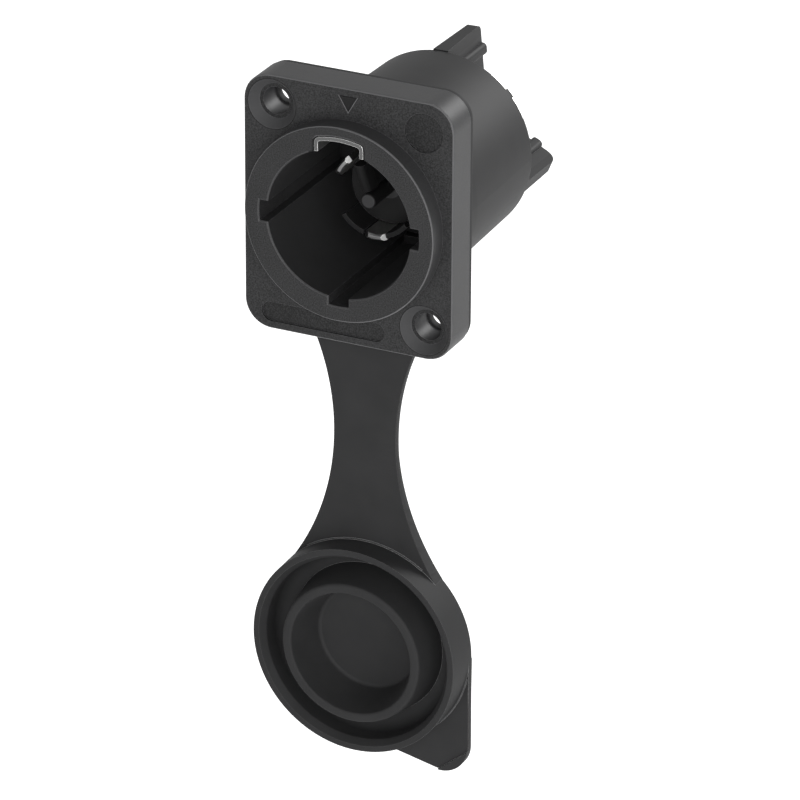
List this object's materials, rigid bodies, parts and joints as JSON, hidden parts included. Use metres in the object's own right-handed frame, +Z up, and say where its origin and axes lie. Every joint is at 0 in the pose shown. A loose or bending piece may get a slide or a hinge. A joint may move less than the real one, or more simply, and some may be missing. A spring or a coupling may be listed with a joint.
{
  "type": "locking panel power inlet",
  "caption": "Square-flanged black panel power inlet with a keyed round socket, rear tab contacts and a rubber sealing cap on a hanging strap.",
  "frame": {"origin": "on the socket's axis, in the plane of the panel's outer face, where the gasket's back lies", "axes": "+Y along the socket's axis into the panel, so the front looks to -Y; +Z up, with the locking slot at the top and the cover hanging below; +X to the right seen from the front"},
  "size_m": [0.026, 0.0383, 0.086],
  "materials": {
    "black_moulding": "fine spark-eroded moulding texture",
    "silver_plate": "silver plated, satin",
    "steel_sheet": "bright stamped sheet",
    "black_rubber": "matt moulded rubber",
    "seal_rubber": "matt"
  },
  "bodies": {
    "inlet": {"housing": "black_moulding", "locking_plate": "steel_sheet", "contact_carrier": "black_moulding", "contact_line": "silver_plate", "contact_neutral": "silver_plate", "contact_earth": "silver_plate", "carrier_seal": "seal_rubber", "rear_insulator": "black_moulding", "cover_gasket": "black_rubber"},
    "strap": {"cover_strap": "black_rubber"},
    "cap": {"cover_cap": "black_rubber"}
  },
  "joints": [
    {"name": "strap_bend", "type": "hinge", "parent": "inlet", "child": "strap", "pos_m": [0, -0.00042, -0.0165], "axis": [-1, 0, 0], "range_deg": [0, 56.78]},
    {"name": "cap_bend", "type": "hinge", "parent": "strap", "child": "cap", "pos_m": [0, -0.00042, -0.0309], "axis": [-1, 0, 0], "range_deg": [0, 123.23]}
  ],
  "couplings": [
    {"joint": "cap_bend", "follows": "strap_bend", "ratio": 2.1702}
  ]
}
